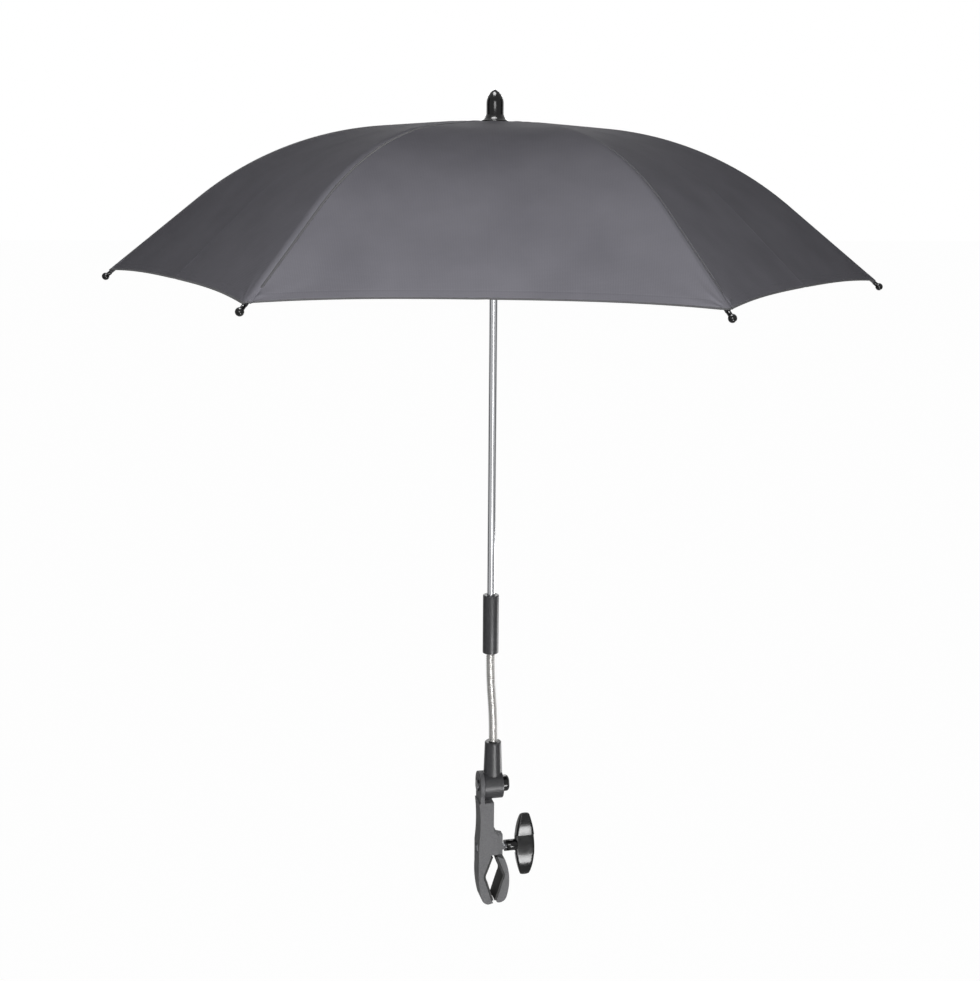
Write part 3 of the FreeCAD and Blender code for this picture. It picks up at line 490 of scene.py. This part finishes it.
# Ferrule and rib tips: turned black plastic
ferrule = {
    "skirt": 12.7 * mm, "skirtEdge": 0.4 * mm, "skirtTop": 0.9 * mm,
    "flareStep": 0.5 * mm, "flareFoot": 1.4 * mm, "flareTall": 5.3 * mm, "flareBend": 0.55, "flareSteps": 9,
    "barrel": 8.3 * mm, "dome": 12.6 * mm, "bulge": 1.8, "taper": 0.62, "domeEnd": 0.9995, "domeSteps": 24,
    "sides": 96}
ferruleLow, ferruleHigh = boxOf("ferrule")
ferruleTall = ferruleHigh[2] - ferruleLow[2]
skirtProfile = [(ferrule["skirt"] - ferrule["skirtEdge"], 0), (ferrule["skirt"], ferrule["skirtEdge"]),
                (ferrule["skirt"], ferrule["skirtTop"])]
flareReach = ferrule["skirt"] - ferrule["flareStep"]
flareProfile = [(flareReach + (ferrule["barrel"] - flareReach) * t ** ferrule["flareBend"],
                 ferrule["flareFoot"] + ferrule["flareTall"] * t)
                for t in np.linspace(0, 1, ferrule["flareSteps"])]
# a pointed dome: radius = barrel (1 - share ** bulge) ** taper over its height
domeShare = np.sin(np.linspace(0, np.pi / 2, ferrule["domeSteps"])) * ferrule["domeEnd"]
domeProfile = [(ferrule["barrel"] * (1 - s ** ferrule["bulge"]) ** ferrule["taper"],
                ferruleTall - ferrule["dome"] * (1 - s)) for s in domeShare]
ferrulePiece = turnedPiece("ferrule_cap", (poleX, poleY, ferruleLow[2]), (0, 0, 1),
                           skirtProfile + flareProfile + domeProfile, glossBlack, ferrule["sides"])
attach(ferrulePiece, "pole")
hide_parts("ferrule")

tip = {"neck": 2.0 * mm, "ball": 3.6 * mm, "ballReach": 7.2 * mm, "ribReach": 374.3 * mm, "play": 0.05 * mm,
       "arcSteps": 26, "sides": 40}
neckEnd = math.asin(tip["neck"] / tip["ball"])
ballArc = np.linspace(math.pi - neckEnd, 0, tip["arcSteps"])[:-1]
tipProfile = [(tip["neck"], tip["play"])]
tipProfile += [(tip["ball"] * math.sin(a), tip["ballReach"] + tip["ball"] * math.cos(a)) for a in ballArc]
hemSlope = math.radians(canopy["hemSlope"])
ribEndHeight = float(ribHeight(np.array(tip["ribReach"])))
for number in range(1, ribCount + 1):
    outward = outwardOf(number)
    ribEnd = np.array([poleX, poleY, ribEndHeight]) + outward * tip["ribReach"]
    lean = outward * math.cos(hemSlope) - np.array([0, 0, math.sin(hemSlope)])
    tipPiece = turnedPiece("tip_%d" % number, ribEnd, lean, tipProfile, glossBlack, tip["sides"],
                           sharpAngle=60)
    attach(tipPiece, "rib_%d" % number)
    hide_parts("rib_tip_%d" % number)
print("ferrule and tips turned")

# Pole and grip sleeve
pole = {"sides": 96}
poleRadius = (shaftHigh[0] - shaftLow[0]) / 2
polePiece = turnedPiece("pole_tube", (poleX, poleY, shaftLow[2]), (0, 0, 1),
                        [(poleRadius, 0), (poleRadius, shaftHigh[2] - shaftLow[2])], chrome, pole["sides"])
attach(polePiece, "pole")
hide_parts("shaft_tube")

sleeve = {"lip": 0.9 * mm, "lipSteps": 6, "bore": 0.15 * mm, "boreDepth": 6 * mm, "sides": 96}
sleeveLow, sleeveHigh = boxOf("grip_sleeve")
sleeveRadius = (sleeveHigh[0] - sleeveLow[0]) / 2
sleeveTall = sleeveHigh[2] - sleeveLow[2]
lipTurn = np.linspace(0, np.pi / 2, sleeve["lipSteps"])
sleeveFoot = [(sleeveRadius - sleeve["lip"] * (1 - math.sin(a)), sleeve["lip"] * (1 - math.cos(a)))
              for a in lipTurn]
sleeveTop = [(r, sleeveTall - z) for r, z in sleeveFoot[::-1]]
innerTop = [(poleRadius + sleeve["bore"], sleeveTall - drop) for drop in (0, sleeve["boreDepth"])]
sleevePiece = turnedPiece("sleeve", (poleX, poleY, sleeveLow[2]), (0, 0, 1),
                          sleeveFoot + sleeveTop + innerTop, satinPlastic, sleeve["sides"])
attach(sleevePiece, "pole")
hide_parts("grip_sleeve")
print("pole and sleeve turned")

# Bendable neck: a wound strip, its ridge running round as a helix, cut at the middle of each link
neck = {"crest": 4.6 * mm, "root": 3.75 * mm, "pitch": 2.45 * mm, "ridgeMiddle": 0.5, "ridgeSteep": 0.85,
        "rowsPerPitch": 10, "leastRows": 4, "sides": 48, "sunk": 7 * mm}
neckLow, neckHigh = boxOf("gooseneck_link_1")[0][2], sleeveLow[2]
linkHeights = np.array([np.mean(boxOf("gooseneck_link_%d" % n), axis=0)[2] for n in range(1, linkCount + 1)])
# the two end links are longer than the others, so their cuts are stepped on from their neighbours'
linkHeights[0] = linkHeights[1] * 2 - linkHeights[2]
linkHeights[-1] = linkHeights[-2] * 2 - linkHeights[-3]


def neckCentre(height):
    # the neck's middle line: two equal curves carry it from the socket's axis over to the pole's
    part = np.clip((height - linkHeights[0]) / (linkHeights[-1] - linkHeights[0]), 0, 1)
    sway = np.where(part < 0.5, 2 * part ** 2, 1 - 2 * (1 - part) ** 2)
    return np.stack([poleX * sway, np.full_like(sway, poleY), height], axis=-1)


def neckPiece(name, low, high):
    # radius = root + (crest - root) * clipped wave of (height / pitch - turn), so the ridge climbs and turns
    rows = max(int((high - low) / neck["pitch"] * neck["rowsPerPitch"]), neck["leastRows"])
    height = np.linspace(low, high, rows)
    turn = np.linspace(0, 1, neck["sides"], endpoint=False)
    wave = np.cos(2 * np.pi * (height[:, None] / neck["pitch"] - turn[None, :]))
    ridge = np.clip(neck["ridgeMiddle"] + neck["ridgeSteep"] * wave, 0, 1)
    return sweptPiece(name, neckCentre(height), neck["root"] + (neck["crest"] - neck["root"]) * ridge,
                      neckNickel, neck["sides"], sharpAngle=70)


neckFoot = neckPiece("neck_foot", neckLow, linkHeights[0])
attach(neckFoot, "socket")
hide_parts("gooseneck_link_1")
for n in range(linkCount - 1):
    bend = neckPiece("neck_bend_%d" % (n + 1), linkHeights[n], linkHeights[n + 1])
    # from the upper body to the lower: the other way round, rounding parts two lengths at all_max
    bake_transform(bend)
    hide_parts("gooseneck_link_%d" % (n + 1 if n else 2))
neckHead = neckPiece("neck_head", linkHeights[-1], neckHigh + neck["sunk"])
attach(neckHead, "pole")
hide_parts("gooseneck_link_%d" % linkCount)
print("neck wound:", linkCount + 1, "lengths")

# Clamp, socket and inner hubs: the moulded pieces with their edges rounded over
moulded = {
    "clamp_body": (clampPlastic, 1.3 * mm), "moving_jaw": (clampPlastic, 1.3 * mm),
    "pole_socket": (satinPlastic, 1.0 * mm),
    "fixed_jaw_pad": (rubber, 0.5 * mm), "moving_jaw_pad": (rubber, 0.5 * mm),
    "runner": (hubPlastic, 0.4 * mm), "runner_button": (hubPlastic, 0.5 * mm),
    "top_notch": (hubPlastic, 0.3 * mm),
    "clamp_nut": (zincSteel, 0.3 * mm), "thrust_washer": (ribSteel, 0.25 * mm)}
for node, (material, edge) in moulded.items():
    roundedCopy(node + "_finish", node, material, edge)
print("mouldings rounded:", len(moulded))

# Springs: the drawn coils
springs = {
    "button_spring": {"joint": "lock_press", "axis": (1, 0, 0), "fixedEnd": 0, "travel": 4.0 * mm},
    "runner_spring": {"joint": "runner_release", "axis": (0, 1, 0), "fixedEnd": 1, "travel": 1.5 * mm}}
for node, spring in springs.items():
    coil = roundedCopy(node + "_coil", node, springSteel, edge=0, sharpAngle=60)
    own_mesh(coil)

# Lock button: a hollow turned cap with a full round edge and a hidden flange
button = {"radius": 8.6 * mm, "flange": 9.6 * mm, "flangeLength": 1.6 * mm, "edge": 3.2 * mm,
          "bore": 6.8 * mm, "boreDepth": 8.5 * mm, "boreMiddle": 0.05 * mm, "crown": 0.6 * mm,
          "crownShares": (0.8, 0.55, 0.3, 0.05), "edgeSteps": 12, "sides": 72}
buttonLow, buttonHigh = boxOf("lock_button")
buttonLong = buttonHigh[0] - buttonLow[0]
buttonFoot = (buttonLow[0], 0, (buttonLow[2] + buttonHigh[2]) / 2)
edgeTurn = np.linspace(0, np.pi / 2, button["edgeSteps"])
buttonProfile = [(button["boreMiddle"], button["boreDepth"]), (button["bore"], button["boreDepth"]),
                 (button["bore"], 0), (button["flange"], 0), (button["flange"], button["flangeLength"]),
                 (button["radius"], button["flangeLength"])]
buttonProfile += [(button["radius"] - button["edge"] * (1 - math.cos(a)),
                   buttonLong - button["crown"] - button["edge"] * (1 - math.sin(a))) for a in edgeTurn]
buttonProfile += [((button["radius"] - button["edge"]) * share, buttonLong - button["crown"] * share ** 2)
                  for share in button["crownShares"]]
buttonPiece = turnedPiece("lock_button_cap", buttonFoot, (1, 0, 0), buttonProfile, glossBlack,
                          button["sides"], sharpAngle=40)
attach(buttonPiece, "lock_button")
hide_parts("lock_button")

# Wing knob: a lens-shaped plate whose two faces are an S, with a crease where the long and short lobes meet
knob = {
    "inner": 24.9 * mm, "outer": 46.2 * mm, "halfHeight": 35.2 * mm,
    "tipWidth": 10 * mm, "tipRound": 1.8 * mm, "edge": 0.8 * mm,
    "crease": 11 * mm, "creaseRound": 0.5 * mm, "creaseRows": 13,
    "longBulge": 5.4 * mm, "longLean": 0.62, "shortBulge": 3.8 * mm, "shortLean": 1.3,
    "boxiness": 7.0, "rows": 180, "endShare": 0.999, "sides": 72,
    "hub": 6 * mm, "hubSink": 2.2 * mm, "hubEdge": 0.6 * mm, "hubSides": 64}
knobAxis = np.array(joints["knob_turn"]["pos_m"], float)


def knobFace(height):
    # how far the face stands out from the middle plane: a long lobe that leans to its foot, a short one above
    k = knob
    low = np.clip((height + k["halfHeight"]) / (k["crease"] + k["halfHeight"]), 0, 1)
    high = np.clip((height - k["crease"]) / (k["halfHeight"] - k["crease"]), 0, 1)
    longLobe = k["edge"] + k["longBulge"] * np.sin(np.pi * low ** k["longLean"])
    shortLobe = k["edge"] + k["shortBulge"] * np.cos(np.pi / 2 * high ** k["shortLean"])
    step = smoothStep((height - k["crease"]) / k["creaseRound"] + 0.5)
    return longLobe * (1 - step) + shortLobe * step


def knobHalfWidth(height):
    # half the plate's width: a wide arc on each side, closed by a tighter arc at the tips
    k = knob
    widest, tipHalf = (k["outer"] - k["inner"]) / 2, k["tipWidth"] / 2
    tipStart = k["halfHeight"] - k["tipRound"]
    sideRadius = (tipStart ** 2 + (widest - tipHalf) ** 2) / (2 * (widest - tipHalf))
    tipRadius = (tipHalf ** 2 + k["tipRound"] ** 2) / (2 * k["tipRound"])
    sideArc = widest - sideRadius + np.sqrt(sideRadius ** 2 - np.minimum(np.abs(height), tipStart) ** 2)
    tipPlace = np.abs(height) - (k["halfHeight"] - tipRadius)
    tipArc = np.sqrt(np.maximum(tipRadius ** 2 - tipPlace ** 2, 0))
    return np.where(np.abs(height) < tipStart, sideArc, tipArc)


def knobWing():
    # each row is a closed loop at one height, a box with round corners between the two S faces
    k = knob
    creaseRows = np.linspace(-1, 1, k["creaseRows"]) * k["creaseRound"]
    evenRows = np.sin(np.linspace(-np.pi / 2, np.pi / 2, k["rows"])) * (k["halfHeight"] * k["endShare"])
    height = np.sort(np.concatenate([evenRows, k["crease"] + creaseRows, -k["crease"] + creaseRows]))
    turn = np.linspace(0, 2 * np.pi, k["sides"], endpoint=False)
    power = 2 / k["boxiness"]
    wide = np.sign(np.cos(turn)) * np.abs(np.cos(turn)) ** power
    deep = np.sign(np.sin(turn)) * np.abs(np.sin(turn)) ** power
    front, back = knobFace(height), knobFace(-height)
    points = np.stack([(k["inner"] + k["outer"]) / 2 + knobHalfWidth(height)[:, None] * wide,
                       ((back - front) / 2)[:, None] + ((back + front) / 2)[:, None] * deep,
                       knobAxis[2] + np.broadcast_to(height[:, None], (len(height), k["sides"]))], axis=-1)
    return meshFrom("knob_wing", points, tubeFaces(len(height), k["sides"]), glossBlack, sharpAngle=60)


hubLeft = boxOf("wing_knob")[0][0]
hubLong = knob["inner"] + knob["hubSink"] - hubLeft
hubProfile = [(knob["hub"] - knob["hubEdge"], 0), (knob["hub"], knob["hubEdge"]),
              (knob["hub"], hubLong - knob["hubEdge"]), (knob["hub"] - knob["hubEdge"], hubLong)]
hubPiece = turnedPiece("knob_hub", (hubLeft, 0, knobAxis[2]), (1, 0, 0), hubProfile, glossBlack,
                       knob["hubSides"], sharpAngle=60)
for piece in (knobWing(), hubPiece):
    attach(piece, "wing_knob")
    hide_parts("wing_knob")
print("springs, button and knob shaped")

# Pieces that stay as they were turned or drawn get the finish of their slot, apart from a pin and a rivet
plainFinish = {"rib_steel": ribSteel, "zinc_steel": zincSteel, "spring_steel": springSteel,
               "neck_steel": neckNickel, "hub_plastic": hubPlastic}
ownFinish = {"jaw_pivot_pin": clampPlastic, "tilt_rivet": ribSteel}
for node, slotName in slotOf.items():
    if slotName in plainFinish and not nodes[node].hide_render:
        for place in nodes[node].material_slots:
            place.link = "OBJECT"
            place.material = ownFinish.get(node, plainFinish[slotName])

# Studio: white floor and world, four softboxes, a dark card at each side, bright cards for the reflections
studio = {"floorDrop": 0.9, "floorSize": 60.0, "floorHex": "#FAFAFA", "floorGlow": 0.985, "floorShine": 0.6,
          "ambient": 0.06, "cardHex": "#1C1C1C", "cardWide": 0.9, "cardTall": 2.4, "cardMiddle": 0.42,
          "paperRoughness": 0.9}
scene.view_settings.view_transform = "Standard"
white = (1, 1, 1, 1)


def stagePlane(name, wide, tall, place, turn, material):
    # a flat rectangle facing up, turned and moved to its place, which is not part of the object
    mesh = bpy.data.meshes.new(name)
    corners = np.array([(-1, -1, 0), (1, -1, 0), (1, 1, 0), (-1, 1, 0)]) * [wide / 2, tall / 2, 0]
    mesh.from_pydata(corners.tolist(), [], [(0, 1, 2, 3)])
    mesh.transform(Matrix.Translation(place) @ Euler(turn).to_matrix().to_4x4())
    mesh.materials.append(material)
    plane = bpy.data.objects.new(name, mesh)
    scene.collection.objects.link(plane)
    return plane


# the floor glows white to the camera and in reflections, takes shadows otherwise, and is clear from below
floorMaterial, tree, surface = newMaterial("whitePaperSweep", studio["floorHex"],
                                           Roughness=studio["paperRoughness"])
path = addNode(tree, "ShaderNodeLightPath")
seen = addNode(tree, "ShaderNodeMath", {1: studio["floorGlow"]}, {0: path.outputs["Is Camera Ray"]},
               operation="MULTIPLY")
shone = addNode(tree, "ShaderNodeMath", {1: studio["floorShine"]}, {0: path.outputs["Is Glossy Ray"]},
                operation="MULTIPLY")
either = addNode(tree, "ShaderNodeMath", links={0: seen.outputs["Value"], 1: shone.outputs["Value"]},
                 operation="MAXIMUM")
glow = addNode(tree, "ShaderNodeEmission", {"Color": white, "Strength": 1.0})
mixed = addNode(tree, "ShaderNodeMixShader", links={
    "Fac": either.outputs["Value"], 1: surface.outputs["BSDF"], 2: glow.outputs["Emission"]})
clearBelow = addNode(tree, "ShaderNodeBsdfTransparent")
side = addNode(tree, "ShaderNodeNewGeometry")
oneSided = addNode(tree, "ShaderNodeMixShader", links={
    "Fac": side.outputs["Backfacing"], 1: mixed.outputs["Shader"], 2: clearBelow.outputs["BSDF"]})
tree.links.new(oneSided.outputs["Shader"], tree.nodes["Material Output"].inputs["Surface"])
stagePlane("floor", studio["floorSize"], studio["floorSize"], (0, 0, cadLow[2] - studio["floorDrop"]),
           (0, 0, 0), floorMaterial)

# the world is white to the camera, in reflections and through clear things, and dim as a light
world = bpy.data.worlds.new("studioWhite")
scene.world = world
world.use_nodes = True
tree = world.node_tree
tree.nodes.clear()
path = addNode(tree, "ShaderNodeLightPath")
seenOrShiny = addNode(tree, "ShaderNodeMath", operation="MAXIMUM", links={
    0: path.outputs["Is Camera Ray"], 1: path.outputs["Is Glossy Ray"]})
clear = addNode(tree, "ShaderNodeMath", operation="MAXIMUM", links={
    0: seenOrShiny.outputs["Value"], 1: path.outputs["Is Transmission Ray"]})
ambient = addNode(tree, "ShaderNodeBackground", {"Color": white, "Strength": studio["ambient"]})
backdrop = addNode(tree, "ShaderNodeBackground", {"Color": white, "Strength": 1.0})
either = addNode(tree, "ShaderNodeMixShader", links={
    "Fac": clear.outputs["Value"], 1: ambient.outputs["Background"], 2: backdrop.outputs["Background"]})
addNode(tree, "ShaderNodeOutputWorld", links={"Surface": either.outputs["Shader"]})


def outFrom(azimuth, elevation):
    # unit vector from the object to an azimuth and elevation, and the turn that faces back along it
    a, e = math.radians(azimuth), math.radians(elevation)
    way = np.array([math.sin(a) * math.cos(e), -math.cos(a) * math.cos(e), math.sin(e)])
    return way, (math.pi / 2 - e, 0, a)


def besidePole(azimuth, away, height):
    # a place at an azimuth and a height, so far away from the pole
    way = outFrom(azimuth, 0)[0]
    return poleX + way[0] * away, poleY + way[1] * away, height


# azimuth, distance from the pole, height, height aimed at, size, and the level at levelAt metres away
# a level of 1 lights a surface that faces the box as its colour is written
softboxes = {
    "frontBox": {"azimuth": -14, "away": 1.45, "height": 0.87, "aim": 0.70,
                 "size": 0.6, "level": 1.35, "levelAt": 1.1},
    "lowBox": {"azimuth": 6, "away": 1.4, "height": -0.40, "aim": 0.05,
               "size": 0.4, "level": 0.32, "levelAt": 1.47},
    "sideBox": {"azimuth": 110, "away": 1.4, "height": -0.25, "aim": 0.05,
                "size": 0.5, "level": 0.4, "levelAt": 1.4},
    "backBox": {"azimuth": 166, "away": 1.25, "height": 1.15, "aim": 0.75,
                "size": 0.5, "level": 0.45, "levelAt": 1.3}}
for name, box in softboxes.items():
    lamp = bpy.data.lights.new(name, "AREA")
    lamp.size = box["size"]
    lamp.energy = box["level"] * (math.pi * box["levelAt"]) ** 2
    holder = bpy.data.objects.new(name, lamp)
    elevation = math.degrees(math.atan2(box["height"] - box["aim"], box["away"]))
    holder.location = besidePole(box["azimuth"], box["away"], box["height"])
    holder.rotation_euler = outFrom(box["azimuth"], elevation)[1]
    holder.visible_camera = False
    scene.collection.objects.link(holder)

# Dark cards that shade the sides
darkCards = {"leftCard": {"azimuth": -110, "away": 1.6}, "rightCard": {"azimuth": 85, "away": 1.8}}
cardMaterial = newMaterial("blackCard", studio["cardHex"], Roughness=studio["paperRoughness"])[0]
for name, card in darkCards.items():
    place = besidePole(card["azimuth"], card["away"], studio["cardMiddle"])
    plane = stagePlane(name, studio["cardWide"], studio["cardTall"], place, outFrom(card["azimuth"], 0)[1],
                       cardMaterial)
    plane.visible_camera = False

# Bright cards that only show in reflections: one over the top, an upright strip in front, one low in front
shineCards = {
    "topShine": {"place": (-0.18, -0.22, 1.6), "aim": 0.8, "wide": 0.5, "tall": 0.5, "level": 30.0},
    "stripShine": {"place": (0.0, -1.35, 0.08), "aim": 0.08, "wide": 0.22, "tall": 0.85, "level": 6.0},
    "lowShine": {"place": (0.26, -1.33, -0.42), "aim": 0.05, "wide": 0.5, "tall": 0.45, "level": 33.0}}
for name, card in shineCards.items():
    aim = np.array([poleX, poleY, card["aim"]]) - card["place"]
    turn = (math.atan2(math.hypot(aim[0], aim[1]), -aim[2]), 0, math.atan2(-aim[0], aim[1]) + math.pi)
    cardGlow, tree = newMaterial(name + "Card", "#FFFFFF")[:2]
    glow = addNode(tree, "ShaderNodeEmission", {"Color": white, "Strength": card["level"]})
    tree.links.new(glow.outputs["Emission"], tree.nodes["Material Output"].inputs["Surface"])
    plane = stagePlane(name, card["wide"], card["tall"], card["place"], turn, cardGlow)
    plane.visible_camera = plane.visible_diffuse = plane.visible_shadow = False

# Camera at the photo's place; the photo is cropped off centre, which the shift follows
view = {"focal": 55.70, "sensor": 36.0, "distance": 1.5479, "azimuth": -14.76, "elevation": 12.3,
        "roll": 0.837, "target": (0.0417, 0.0, 0.4163), "shiftPixels": -45.0, "imageWidth": 980}
camera = bpy.data.cameras.new("camera")
camera.lens = view["focal"]
camera.sensor_width = view["sensor"]
camera.shift_x = view["shiftPixels"] / view["imageWidth"]
cameraHolder = bpy.data.objects.new("camera", camera)
way, turn = outFrom(view["azimuth"], view["elevation"])
cameraHolder.location = (np.array(view["target"]) + way * view["distance"]).tolist()
rolled = Euler(turn).to_matrix() @ Matrix.Rotation(math.radians(view["roll"]), 3, "Z")
cameraHolder.rotation_euler = rolled.to_euler("XYZ")
scene.collection.objects.link(cameraHolder)
scene.camera = cameraHolder
print("studio set")
